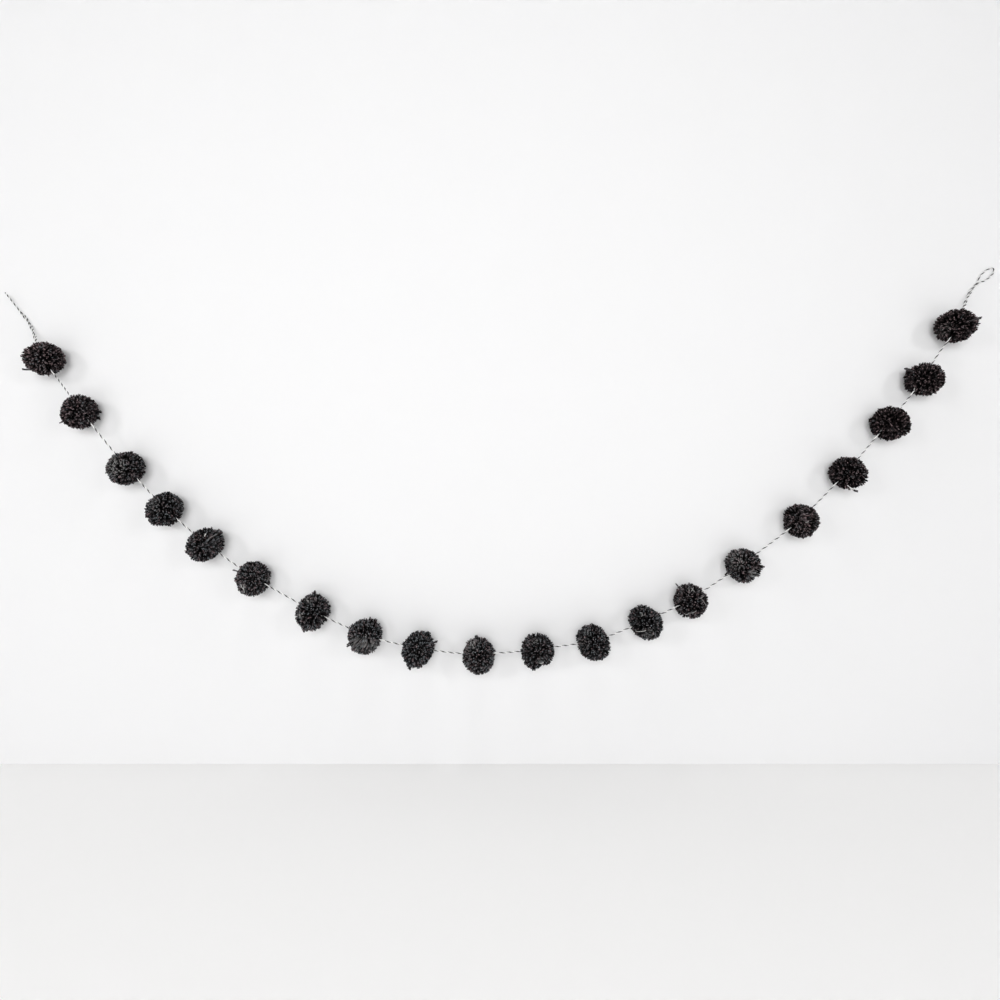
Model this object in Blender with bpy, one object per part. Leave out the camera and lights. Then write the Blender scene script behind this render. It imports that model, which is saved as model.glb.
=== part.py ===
"""Pom-pom garland: twenty trimmed yarn pom-poms threaded on one length of twine.

Each end of the twine is doubled back on itself, twisted into a short neck and left
open as a hanging loop. The garland hangs in a deep curve, with the back of each
pom-pom on one upright plane. Units are metres. +X runs along that plane to the right,
+Z is up and -Y points to the viewer. The origin is where the left end is pinned.
"""

import math
from collections import namedtuple

import bmesh
import bpy
from mathutils import Vector, geometry

MM = 0.001

# Twine
TWINE_DIAMETER = 1.7 * MM
TWINE_SIDES_RESOLUTION = 2
RUN_STEP = 60 * MM
FINE_STEPS = 16

# Twisted necks and hanging loops
NECK_TURNS = 2
NECK_POINTS_PER_TURN = 5
NECK_RADIUS = 1.15 * MM
LOOP_WIDTH = 9 * MM
LOOP_POINTS = 10
LOOP_PEAK = 0.87
TAIL_TUCK = 10 * MM
NECK_CHANNEL = 30 * MM

# Pom-poms
BACK_PLANE_Y = 2 * MM
THREADED_ABOVE = 2.3 * MM
TRIM_UNEVENNESS = 2.4 * MM
TRIM_PATCH = 14 * MM
YARN_ROUNDNESS = 3
UNIT_RADIUS = 0.5

# Room between pieces that touch on the real garland. The two strands of a neck bulge
# a little at their bends, so the channel that holds them is wider by their allowance.
GAP = 0.4 * MM
BEND_ALLOWANCE = 0.2 * MM
WELD_DISTANCE = 0.01 * MM

# One row for each pom-pom, in millimetres and degrees: its centre to the right of the
# left pin and above it, its width across the twine, its thickness along the twine, and
# how far it leans from the line of the twine, anticlockwise.
PomPom = namedtuple("PomPom", "right up width thickness lean")
POMPOMS = (
    PomPom(38, -56, 48, 43, -10),
    PomPom(86, -128, 47, 41, 28),
    PomPom(148, -204, 47, 43, 3),
    PomPom(201, -260, 49, 42, 5),
    PomPom(256, -307, 50, 42, -16),
    PomPom(320, -353, 46, 45, -3),
    PomPom(401, -398, 50, 42, 10),
    PomPom(471, -431, 49, 45, -5),
    PomPom(543, -448, 50, 41, -11),
    PomPom(625, -457, 49, 43, 6),
    PomPom(704, -450, 46, 45, 6),
    PomPom(779, -439, 50, 43, 15),
    PomPom(850, -412, 49, 41, 19),
    PomPom(911, -383, 47, 44, -5),
    PomPom(982, -335, 47, 45, 9),
    PomPom(1060, -275, 47, 43, -23),
    PomPom(1123, -210, 47, 43, 27),
    PomPom(1180, -143, 47, 45, 17),
    PomPom(1227, -84, 47, 43, 25),
    PomPom(1268, -12, 48, 43, 17),
)

# How far to the right of its pom-pom's middle an end's neck aims, where it is pinned,
# where its loop starts, the loop's far tip, and the direction in which the loop opens.
# The left loop stands off the back plane, the right one lies on it.
End = namedtuple("End", "aims pin foot tip opens")
LEFT_END = End(
    aims=-3 * MM,
    pin=Vector((0, 0, 0)) * MM,
    foot=Vector((-12, 0, 15)) * MM,
    tip=Vector((-25.5, -8, 37.5)) * MM,
    opens=Vector((-0.49, 0.87, 0.02)),
)
RIGHT_END = End(
    aims=3 * MM,
    pin=Vector((1306.5, 0, 43.5)) * MM,
    foot=Vector((1317.5, 0, 56.5)) * MM,
    tip=Vector((1337.5, 0, 73.5)) * MM,
    opens=Vector((-0.65, 0, 0.76)),
)

YARN_COLOUR = (0.035, 0.033, 0.035)
TWINE_COLOUR = (0.45, 0.45, 0.45)
FIBRE_ROUGHNESS = 0.9


def clear_scene():
    """Removes whatever the scene holds."""
    for thing in list(bpy.data.objects):
        bpy.data.objects.remove(thing)


def make_collection(name, cutters=False):
    """A collection in the scene, hidden from renders where it holds cutters."""
    collection = bpy.data.collections.new(name)
    bpy.context.scene.collection.children.link(collection)
    collection.hide_render = cutters
    return collection


def make_material(name, colour):
    """A rough fibre of one colour."""
    material = bpy.data.materials.new(name)
    material.use_nodes = True
    surface = material.node_tree.nodes["Principled BSDF"]
    surface.inputs["Base Color"].default_value = (*colour, 1)
    surface.inputs["Roughness"].default_value = FIBRE_ROUGHNESS
    surface.inputs["Metallic"].default_value = 0
    return material


def tangents(points):
    """At each point, the direction halfway between those of its two stretches."""
    steps = [(b - a).normalized() for a, b in zip(points, points[1:])]
    return [(a + b).normalized() for a, b in zip([steps[0]] + steps, steps + [steps[-1]])]


def smooth_line(points, steps):
    """Points on the curve that passes smoothly through all the given ones.

    Each stretch is a cubic curve whose handles are a third as long as the stretch.
    """
    line = []
    along = tangents(points)
    for i, (start, end) in enumerate(zip(points, points[1:])):
        reach = (end - start).length / 3
        handles = start + along[i] * reach, end - along[i + 1] * reach
        line += geometry.interpolate_bezier(start, *handles, end, steps + 1)[:-1]
    return line + [points[-1]]


def even_points(line, count):
    """As many points as count says plus one, at even distances along a line."""
    lengths = [(b - a).length for a, b in zip(line, line[1:])]
    spacing = sum(lengths) / count
    found, travelled = [line[0]], 0.0
    for start, end, length in zip(line, line[1:], lengths):
        while len(found) < count and travelled + length >= spacing * len(found):
            share = (spacing * len(found) - travelled) / length
            found.append(start.lerp(end, share))
        travelled += length
    return found + [line[-1]]


def length_of(line):
    """The length of a line of points."""
    return sum((b - a).length for a, b in zip(line, line[1:]))


def centre_of(row):
    """A pom-pom's centre, half its width in front of the back plane."""
    return Vector((row.right * MM, BACK_PLANE_Y - row.width * MM / 2, row.up * MM))


def twine_directions():
    """The twine's direction at each pom-pom, from that pom-pom's neighbours."""
    centres = [centre_of(row) for row in POMPOMS]
    flat = [Vector((centre.x, 0, centre.z)) for centre in centres]
    return tangents(flat)


def thread_points():
    """Where the twine passes through each pom-pom, a little above its middle.

    The outer two pom-poms are threaded through the middle, where their neck enters.
    """
    points = [centre_of(row) for row in POMPOMS]
    for point, along in list(zip(points, twine_directions()))[1:-1]:
        point += Vector((-along.z, 0, along.x)) * THREADED_ABOVE
    return points


def neck_axis(end, pompom_centre, pompom_radius):
    """The middle line of a twisted neck, from inside its pom-pom to the loop's foot."""
    aim = pompom_centre + Vector((end.aims, 0, 0))
    inwards = (aim - end.pin).normalized()
    start = aim - inwards * (pompom_radius - TAIL_TUCK)
    line = smooth_line([start, end.pin, end.foot], FINE_STEPS)
    return even_points(line, NECK_TURNS * NECK_POINTS_PER_TURN)


def neck_strand(axis, opens, side):
    """One of the two strands that wind round a neck's middle line.

    The strand ends at the foot on the given side, so that it runs on into the loop.
    """
    strand = []
    for i, (point, along) in enumerate(zip(axis, tangents(axis))):
        across = (opens - along * opens.dot(along)).normalized()
        turn = 2 * math.pi * (i - len(axis) + 1) / NECK_POINTS_PER_TURN
        out = across * math.cos(turn) + along.cross(across) * math.sin(turn)
        strand.append(point + out * side * NECK_RADIUS)
    return strand


def loop_points(end):
    """The teardrop of a hanging loop, from one side of its foot round to the other.

    It is an ellipse made blunter towards the tip, whose formula peaks at LOOP_PEAK, so
    dividing by that gives the loop its full width. At the foot the two sides are as
    far apart as the strands of the neck.
    """
    along = end.tip - end.foot
    opens = (end.opens - along * end.opens.dot(along) / along.length_squared).normalized()
    points = []
    for i in range(1, LOOP_POINTS):
        turn = 2 * math.pi * i / LOOP_POINTS
        bulge = math.sin(turn) * (1 + math.sin(turn / 2)) / 2 / LOOP_PEAK
        out = bulge * LOOP_WIDTH / 2 + math.cos(turn / 2) * NECK_RADIUS
        reach = (1 - math.cos(turn)) / 2
        points.append(end.foot + along * reach + opens * out)
    return points


def end_strands(end, row, centre):
    """The middle line of one end's neck, and the two strands that wind round it."""
    axis = neck_axis(end, centre, row.thickness * MM / 2)
    tail = neck_strand(axis, end.opens, 1)
    main = neck_strand(axis, end.opens, -1)
    return axis, tail, main


def run_between(first, last):
    """The threaded run of the twine, from one neck's inner end to the other's."""
    line = smooth_line([first] + thread_points() + [last], FINE_STEPS)
    return even_points(line, round(length_of(line) / RUN_STEP))


def make_tube(name, points, radius, collection, material=None):
    """A round tube with filled ends along a line of points."""
    curve = bpy.data.curves.new(name, "CURVE")
    curve.dimensions = "3D"
    curve.bevel_depth = radius
    curve.bevel_resolution = TWINE_SIDES_RESOLUTION
    curve.use_fill_caps = True
    spline = curve.splines.new("POLY")
    spline.points.add(len(points) - 1)
    for place, point in zip(spline.points, points):
        place.co = (*point, 1)
    tube = bpy.data.objects.new(name, curve)
    collection.objects.link(tube)
    if material:
        curve.materials.append(material)
    return tube


def as_cutter(tube, collection):
    """A tube made into a closed mesh that Boolean modifiers can cut with."""
    bpy.context.view_layer.update()
    shown = tube.evaluated_get(bpy.context.evaluated_depsgraph_get())
    mesh = bpy.data.meshes.new_from_object(shown)
    shape = bmesh.new()
    shape.from_mesh(mesh)
    bmesh.ops.remove_doubles(shape, verts=shape.verts, dist=WELD_DISTANCE)
    bmesh.ops.recalc_face_normals(shape, faces=shape.faces)
    shape.to_mesh(mesh)
    shape.free()
    cutter = bpy.data.objects.new(tube.name + "_cutter", mesh)
    cutter.matrix_world = tube.matrix_world
    cutter.hide_render = True
    cutter.display_type = "WIRE"
    collection.objects.link(cutter)
    bpy.data.objects.remove(tube)
    return cutter


def make_trim_pattern():
    """The soft unevenness that hand trimming leaves on a pom-pom."""
    pattern = bpy.data.textures.new("hand_trimming", "CLOUDS")
    pattern.noise_scale = TRIM_PATCH
    pattern.noise_depth = 0
    return pattern


def make_pompom(number, row, along, pattern, material, collection):
    """A pom-pom as far as its yarn ends reach: wide across the twine, thinner along it."""
    bpy.ops.mesh.primitive_ico_sphere_add(subdivisions=YARN_ROUNDNESS, radius=UNIT_RADIUS)
    pompom = bpy.context.object
    pompom.name = f"pompom_{number:02d}"
    pompom.data.name = pompom.name
    pompom.scale = row.thickness * MM, row.width * MM, row.width * MM
    bpy.ops.object.transform_apply(location=False, rotation=False, scale=True)
    pompom.rotation_euler.y = -math.atan2(along.z, along.x) - math.radians(row.lean)
    pompom.location = centre_of(row)
    trimming = pompom.modifiers.new("hand_trimming", "DISPLACE")
    trimming.texture = pattern
    trimming.texture_coords = "GLOBAL"
    trimming.strength = TRIM_UNEVENNESS
    pompom.data.shade_smooth()
    pompom.data.materials.append(material)
    for old in list(pompom.users_collection):
        old.objects.unlink(pompom)
    collection.objects.link(pompom)
    return pompom


def cut(pompom, cutter):
    """Cuts the twine's way through a pom-pom."""
    hole = pompom.modifiers.new(cutter.name, "BOOLEAN")
    hole.operation = "DIFFERENCE"
    hole.solver = "EXACT"
    hole.object = cutter


def make_neck_cutter(name, axis, collection):
    """The room that the doubled twine takes up inside its pom-pom."""
    outwards = (axis[1] - axis[0]).normalized()
    room = GAP + BEND_ALLOWANCE
    ends = axis[0] - outwards * room, axis[0] + outwards * NECK_CHANNEL
    channel = make_tube(name, ends, NECK_RADIUS + TWINE_DIAMETER / 2 + room, collection)
    return as_cutter(channel, collection)


def build_garland():
    """Builds every piece of the garland in its place."""
    clear_scene()
    garland = make_collection("pom-pom garland")
    cutters = make_collection("cutters", cutters=True)
    yarn = make_material("yarn", YARN_COLOUR)
    twine_fibre = make_material("twine", TWINE_COLOUR)

    left_centre, right_centre = centre_of(POMPOMS[0]), centre_of(POMPOMS[-1])
    left_axis, left_tail, left_main = end_strands(LEFT_END, POMPOMS[0], left_centre)
    right_axis, right_tail, right_main = end_strands(RIGHT_END, POMPOMS[-1], right_centre)
    run = run_between(left_main[0], right_main[0])
    left_side = left_tail + loop_points(LEFT_END) + left_main[::-1]
    right_side = right_main + loop_points(RIGHT_END)[::-1] + right_tail[::-1]
    route = left_side + run[1:-1] + right_side
    make_tube("twine", route, TWINE_DIAMETER / 2, garland, twine_fibre)

    bore = make_tube("bore", run, TWINE_DIAMETER / 2 + GAP, cutters)
    bore = as_cutter(bore, cutters)
    pattern = make_trim_pattern()
    pompoms = [
        make_pompom(number, row, along, pattern, yarn, garland)
        for number, (row, along) in enumerate(zip(POMPOMS, twine_directions()), start=1)
    ]
    for pompom in pompoms:
        cut(pompom, bore)
    cut(pompoms[0], make_neck_cutter("left_neck", left_axis, cutters))
    cut(pompoms[-1], make_neck_cutter("right_neck", right_axis, cutters))


build_garland()
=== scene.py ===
# %% [markdown]
# # A pom-pom garland
#
# Twenty balls of charcoal yarn hang on one length of black and white twine, where the
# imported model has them, and fill its solids. This file makes what the eye sees there: the
# four plies of the twine, the cut yarn ends of every ball, and the soft light on a white
# backdrop.

# %% Load the frame
import math
from collections import namedtuple

import bpy
import numpy as np
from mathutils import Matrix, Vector, geometry
from mathutils.bvhtree import BVHTree


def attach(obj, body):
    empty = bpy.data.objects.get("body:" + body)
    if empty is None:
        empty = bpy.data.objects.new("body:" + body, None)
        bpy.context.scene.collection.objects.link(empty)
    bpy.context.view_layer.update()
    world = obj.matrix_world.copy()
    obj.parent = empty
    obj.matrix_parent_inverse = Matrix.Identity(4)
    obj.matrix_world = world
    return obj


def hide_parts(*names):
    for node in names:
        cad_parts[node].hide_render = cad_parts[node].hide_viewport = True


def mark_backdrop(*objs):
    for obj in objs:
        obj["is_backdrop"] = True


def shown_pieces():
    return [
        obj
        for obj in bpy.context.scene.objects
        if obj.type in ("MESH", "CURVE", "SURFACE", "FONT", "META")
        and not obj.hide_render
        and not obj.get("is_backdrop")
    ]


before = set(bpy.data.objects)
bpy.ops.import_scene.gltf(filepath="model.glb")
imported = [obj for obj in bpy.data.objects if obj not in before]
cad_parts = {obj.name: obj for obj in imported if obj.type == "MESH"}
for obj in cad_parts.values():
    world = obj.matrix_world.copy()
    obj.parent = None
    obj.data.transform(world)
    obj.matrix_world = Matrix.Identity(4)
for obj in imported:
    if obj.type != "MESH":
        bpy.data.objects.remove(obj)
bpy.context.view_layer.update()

MM = 0.001
scene = bpy.context.scene
print("pieces in the frame:", len(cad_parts))

# %% [markdown]
# ## The camera
#
# The garland was photographed from close by with a wide lens, square to the backdrop. That
# is why the outer balls look longer than the ones in the middle. The camera comes first,
# because the small marks on each ball are placed where this camera sees them.

# %% Camera
CAMERA_PLACE = Vector((653.5, -845.5, -246.7)) * MM
CAMERA_SPOT = np.array(CAMERA_PLACE)
LENS = 21.96

bpy.ops.object.camera_add(location=CAMERA_PLACE, rotation=(math.pi / 2, 0, 0))
camera = bpy.context.object
camera.name = "wide_camera"
camera.data.lens = LENS
scene.camera = camera
print("camera stands", round(-CAMERA_PLACE.y, 3), "m in front of the hanging ends")

# %% [markdown]
# ## Where the balls and the twine go
#
# Each row is one ball. Its place, its width across the twine and its thickness along it
# are the numbers of the part's source. Tone says how light its yarn looks beside the others
# and warm how brown. Shows is how far the twine can be seen inside the ball's outline, where
# it comes out at the inner side, and white how far beyond the ball's surface the twine shows
# its white plies there.

# %% Table of balls
PomPom = namedtuple("PomPom", "right up width thickness tone warm shows white")
POMPOMS = (
    PomPom(38, -56, 48, 43, 0.76, 0.85, 7, 2.0),
    PomPom(86, -128, 47, 41, 0.80, 0.66, 4, 4.5),
    PomPom(148, -204, 47, 43, 1.02, 0.38, 1.5, 5),
    PomPom(201, -260, 49, 42, 0.74, 0.29, 1, 4),
    PomPom(256, -307, 50, 42, 1.00, 0.38, 0, 0),
    PomPom(320, -353, 46, 45, 1.01, 0.38, 5, -1.5),
    PomPom(401, -398, 50, 42, 1.06, 0.28, 7, 2.0),
    PomPom(471, -431, 49, 45, 1.22, 0.18, 1, 2.4),
    PomPom(543, -448, 50, 41, 1.01, 0.18, 0, 0),
    PomPom(625, -457, 49, 43, 1.16, 0.37, 1, 2.4),
    PomPom(704, -450, 46, 45, 0.78, 0.28, 0, 0),
    PomPom(779, -439, 50, 43, 0.82, 0.28, 0, 0),
    PomPom(850, -412, 49, 41, 0.64, 0.18, 0, 0),
    PomPom(911, -383, 47, 44, 0.82, 0.51, 4, 0.5),
    PomPom(982, -335, 47, 45, 0.98, 0.37, 0, 0),
    PomPom(1060, -275, 47, 43, 0.57, 0.66, 6, 1.0),
    PomPom(1123, -210, 47, 43, 0.37, 0.77, 4, 2.4),
    PomPom(1180, -143, 47, 45, 0.31, 1.00, 4.5, 3.5),
    PomPom(1227, -84, 47, 43, 0.38, 0.94, 0.5, 3.5),
    PomPom(1268, -12, 48, 43, 0.44, 1.00, 9, -1.0),
)
BACKDROP_Y = 2 * MM


def centre_of(row):
    """A ball's centre, half its width in front of the backdrop."""
    return Vector((row.right * MM, BACKDROP_Y - row.width * MM / 2, row.up * MM))


print("balls:", len(POMPOMS))

# %% [markdown]
# The twine is one cord. It starts inside the first ball, winds with itself into a short
# neck, goes round the hanging loop and back down the neck, runs through all the balls and
# ends with the same loop and neck on the other side. Its route repeats the part's source:
# a few given points, joined by smooth curves.

# %% Lines through points
def tangents(points):
    """At each point, the direction halfway between those of its two stretches."""
    steps = [(b - a).normalized() for a, b in zip(points, points[1:])]
    return [(a + b).normalized() for a, b in zip([steps[0]] + steps, steps + [steps[-1]])]


def smooth_line(points, steps):
    """Points on the curve that passes smoothly through all the given ones."""
    line = []
    along = tangents(points)
    for i, (start, end) in enumerate(zip(points, points[1:])):
        reach = (end - start).length / 3
        handles = start + along[i] * reach, end - along[i + 1] * reach
        line += geometry.interpolate_bezier(start, *handles, end, steps + 1)[:-1]
    return line + [points[-1]]


def length_of(line):
    """The length of a line of points."""
    return sum((b - a).length for a, b in zip(line, line[1:]))


def even_points(line, count):
    """As many points as count says plus one, at even distances along a line."""
    lengths = [(b - a).length for a, b in zip(line, line[1:])]
    spacing = sum(lengths) / count
    found, travelled = [line[0]], 0.0
    for start, end, length in zip(line, line[1:], lengths):
        while len(found) < count and travelled + length >= spacing * len(found):
            share = (spacing * len(found) - travelled) / length
            found.append(start.lerp(end, share))
        travelled += length
    return found + [line[-1]]


# %% The two ends of the twine
FINE_STEPS = 16
THREADED_ABOVE = 2.3 * MM
NECK_TURNS = 2
NECK_POINTS_PER_TURN = 5
NECK_RADIUS = 1.15 * MM
LOOP_WIDTH = 9 * MM
LOOP_POINTS = 10
LOOP_PEAK = 0.87
TAIL_TUCK = 10 * MM

End = namedtuple("End", "aims pin foot tip opens")
LEFT_END = End(
    aims=-3 * MM,
    pin=Vector((0, 0, 0)) * MM,
    foot=Vector((-12, 0, 15)) * MM,
    tip=Vector((-25.5, -8, 37.5)) * MM,
    opens=Vector((-0.49, 0.87, 0.02)),
)
RIGHT_END = End(
    aims=3 * MM,
    pin=Vector((1306.5, 0, 43.5)) * MM,
    foot=Vector((1317.5, 0, 56.5)) * MM,
    tip=Vector((1337.5, 0, 73.5)) * MM,
    opens=Vector((-0.65, 0, 0.76)),
)


def neck_axis(end, row):
    """The middle line of a twisted neck, from inside its ball to the loop's foot."""
    aim = centre_of(row) + Vector((end.aims, 0, 0))
    inwards = (aim - end.pin).normalized()
    start = aim - inwards * (row.thickness * MM / 2 - TAIL_TUCK)
    line = smooth_line([start, end.pin, end.foot], FINE_STEPS)
    return even_points(line, NECK_TURNS * NECK_POINTS_PER_TURN)


def neck_strand(axis, opens, side):
    """One of the two strands that wind round a neck's middle line."""
    strand = []
    for i, (point, along) in enumerate(zip(axis, tangents(axis))):
        across = (opens - along * opens.dot(along)).normalized()
        turn = 2 * math.pi * (i - len(axis) + 1) / NECK_POINTS_PER_TURN
        out = across * math.cos(turn) + along.cross(across) * math.sin(turn)
        strand.append(point + out * side * NECK_RADIUS)
    return strand


def loop_points(end):
    """The hanging loop, a blunt teardrop, from one side of its foot to the other."""
    along = end.tip - end.foot
    opens = (end.opens - along * end.opens.dot(along) / along.length_squared).normalized()
    points = []
    for i in range(1, LOOP_POINTS):
        turn = 2 * math.pi * i / LOOP_POINTS
        bulge = math.sin(turn) * (1 + math.sin(turn / 2)) / 2 / LOOP_PEAK
        out = bulge * LOOP_WIDTH / 2 + math.cos(turn / 2) * NECK_RADIUS
        reach = (1 - math.cos(turn)) / 2
        points.append(end.foot + along * reach + opens * out)
    return points


def end_strands(end, row):
    """The strand of a neck that is tucked into its ball, and the one that runs on."""
    axis = neck_axis(end, row)
    return [neck_strand(axis, end.opens, side) for side in (1, -1)]


# %% The whole route
RUN_STEP = 60 * MM


def twine_directions():
    """The twine's direction at each ball, from that ball's neighbours."""
    centres = [centre_of(row) for row in POMPOMS]
    return tangents([Vector((centre.x, 0, centre.z)) for centre in centres])


def thread_points():
    """Where the twine passes through each ball, a little above its middle."""
    points = [centre_of(row) for row in POMPOMS]
    for point, along in list(zip(points, twine_directions()))[1:-1]:
        point += Vector((-along.z, 0, along.x)) * THREADED_ABOVE
    return points


left_tail, left_main = end_strands(LEFT_END, POMPOMS[0])
right_tail, right_main = end_strands(RIGHT_END, POMPOMS[-1])
run = smooth_line([left_main[0]] + thread_points() + [right_main[0]], FINE_STEPS)
run = even_points(run, round(length_of(run) / RUN_STEP))
left_side = left_tail + loop_points(LEFT_END) + left_main[::-1]
right_side = right_main + loop_points(RIGHT_END)[::-1] + right_tail[::-1]
route = left_side + run[1:-1] + right_side
print("route points:", len(route))

# %% [markdown]
# ## The twine
#
# Baker's twine is four thin plies, two black and two white, laid round each other, so the
# black ones show as slanting dashes. A striped tube would look right from afar only, so
# each ply is made. A ply starts as a long flat grid, which is rolled into a thin tube and
# laid in a helix round the route. The grid brings its own UV map, which then follows the
# ply wherever it goes.

# %% The twine's middle line
TWINE_DIAMETER = 1.7 * MM
BLACK_PLY_RADIUS = 0.35 * MM
WHITE_PLY_RADIUS = 0.41 * MM
RING_STEP = 1.1 * MM
TURN_LENGTH = 11 * MM
LEFT_TURN_LENGTH = 6.5 * MM
RIGHT_TURN_LENGTH = 8.5 * MM
FIRST_GAP_TURNS = 4


def as_array(points):
    """Points as rows of numbers."""
    return np.array([tuple(point) for point in points])


def unit(vectors):
    """Vectors brought to length one."""
    return vectors / np.linalg.norm(vectors, axis=-1, keepdims=True)


fine_route = smooth_line(route, FINE_STEPS)
twine_length = length_of(fine_route)
RINGS = round(twine_length / RING_STEP)
middle_line = as_array(even_points(fine_route, RINGS))


def sideways_of(line):
    """At each point of a line, a direction across it that never spins about it."""
    along = unit(np.gradient(line, axis=0))
    sideways = [unit(np.cross(along[0], (0, 1, 0)))]
    for direction in along[1:]:
        last = sideways[-1]
        sideways.append(unit(last - direction * last.dot(direction)))
    return along, np.array(sideways)


print("twine length:", round(twine_length, 4), "m in", RINGS, "steps")

# %% Rolling and laying one ply
PLY_SIDES = 6
PLIES = 4
BLACK_PLIES = 2
WELD_SHARE = 0.05
WHITE_TURN = 0.625
RINGS_HELD = 2
NECK_SHARE = 0.3
ALONG, SIDEWAYS = sideways_of(middle_line)


def camera_side_end(row, along):
    """Which way along the twine a ball's end lies that is turned to the camera."""
    to_camera = CAMERA_PLACE - centre_of(row)
    return along if along.dot(to_camera) > 0 else -along


def turns_made():
    """How many turns the plies have made at each ring.

    The loops and necks are twisted tighter than the run, and so is the gap between the first
    two balls. Elsewhere the twist is eased by a few parts in a hundred, so that the white
    plies face the camera for a while where the twine comes out in front of a ball. In the
    necks it brings the dashes of the two strands side by side.
    """
    at = np.arange(RINGS + 1) * RING_STEP
    left_end, right_end = length_of(left_side), at[-1] - length_of(right_side)
    turn_length = np.where(at < right_end, TURN_LENGTH, RIGHT_TURN_LENGTH)
    turn_length = np.where(at > left_end, turn_length, LEFT_TURN_LENGTH)
    steady = np.cumsum(RING_STEP / turn_length)

    def past_white(ring):
        view = CAMERA_SPOT - middle_line[ring]
        facing = math.atan2(view @ np.cross(ALONG[ring], SIDEWAYS[ring]), view @ SIDEWAYS[ring])
        return steady[ring] + WHITE_TURN - facing / 2 / math.pi

    def neck_change(tip, half):
        pair = [round((tip + way * half * (1 - NECK_SHARE)) / RING_STEP) for way in (-1, 1)]
        return -sum(past_white(ring) for ring in pair) / 2

    change = neck_change(left_end / 2, left_end / 2)
    rings, changes = [0, round(left_end / RING_STEP)], [change, change]
    held = RINGS_HELD * RING_STEP / TURN_LENGTH
    for row, along in zip(POMPOMS, twine_directions()):
        if not row.shows:
            continue
        out = row.thickness * MM / 2 + row.white * MM
        exit_place = centre_of(row) + camera_side_end(row, along) * out
        ring = np.linalg.norm(middle_line - exit_place, axis=1).argmin()
        change = -past_white(ring) - changes[-1]
        change = changes[-1] + change - round(change)
        if row is POMPOMS[1]:
            change += FIRST_GAP_TURNS
        rings += [ring - RINGS_HELD, ring + RINGS_HELD]
        changes += [change + held, change - held]
    half = (at[-1] - right_end) / 2
    change = neck_change(right_end + half, half) - changes[-1]
    change = changes[-1] + change - round(2 * change) / 2
    rings += [round(right_end / RING_STEP), RINGS]
    changes += [change, change]
    return steady + np.interp(np.arange(RINGS + 1), rings, changes)


def helix(turns_ahead, radius):
    """A ply's middle line and the direction from the twine's middle out to it."""
    turn = 2 * math.pi * (TURNS + turns_ahead)
    upwards = np.cross(ALONG, SIDEWAYS)
    out = SIDEWAYS * np.cos(turn)[:, None] + upwards * np.sin(turn)[:, None]
    return middle_line + out * (TWINE_DIAMETER / 2 - radius), out


def finish_shape():
    """Leaves edit mode with every face pointing outwards."""
    bpy.ops.mesh.select_all(action="SELECT")
    bpy.ops.mesh.normals_make_consistent(inside=False)
    bpy.ops.object.mode_set(mode="OBJECT")


def make_ply(number):
    """One ply: a flat grid, rolled up, laid in its helix and closed at both ends."""
    bpy.ops.mesh.primitive_grid_add(x_subdivisions=PLY_SIDES, y_subdivisions=RINGS, size=1)
    ply = bpy.context.object
    flat = as_array(vertex.co for vertex in ply.data.vertices)
    ring = np.rint((flat[:, 1] + 0.5) * RINGS).astype(int)
    angle = 2 * math.pi * (flat[:, 0] + 0.5)
    radius = BLACK_PLY_RADIUS if number < BLACK_PLIES else WHITE_PLY_RADIUS
    line, out = helix(number / PLIES, radius)
    along = unit(np.gradient(line, axis=0))
    out = unit(out - along * (out * along).sum(1)[:, None])
    across = np.cross(along, out)
    lift = out[ring] * np.cos(angle)[:, None] + across[ring] * np.sin(angle)[:, None]
    ply.data.vertices.foreach_set("co", (line[ring] + lift * radius).ravel())
    bpy.ops.object.mode_set(mode="EDIT")
    bpy.ops.mesh.select_all(action="SELECT")
    bpy.ops.mesh.remove_doubles(threshold=radius * WELD_SHARE)
    bpy.ops.mesh.select_all(action="DESELECT")
    bpy.ops.mesh.select_non_manifold(extend=False)
    bpy.ops.mesh.fill_holes(sides=PLY_SIDES)
    finish_shape()
    bpy.ops.object.shade_smooth()
    return ply


TURNS = turns_made()
plies = [make_ply(number) for number in range(PLIES)]
print("faces of one ply:", len(plies[0].data.polygons))

# %% [markdown]
# ## Shader groups
#
# Spun yarn and cotton share one look: fine fibres that run along each ply on a slant. That
# is one node group, used at its own scale by each material. It reads the UV map, in which
# U goes round a ply and V along it, and puts out a height and a mask.

# %% Spun fibres
def set_inputs(node, values):
    """Gives the named sockets of a node their constant values."""
    for name, value in values.items():
        node.inputs[name].default_value = value


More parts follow.
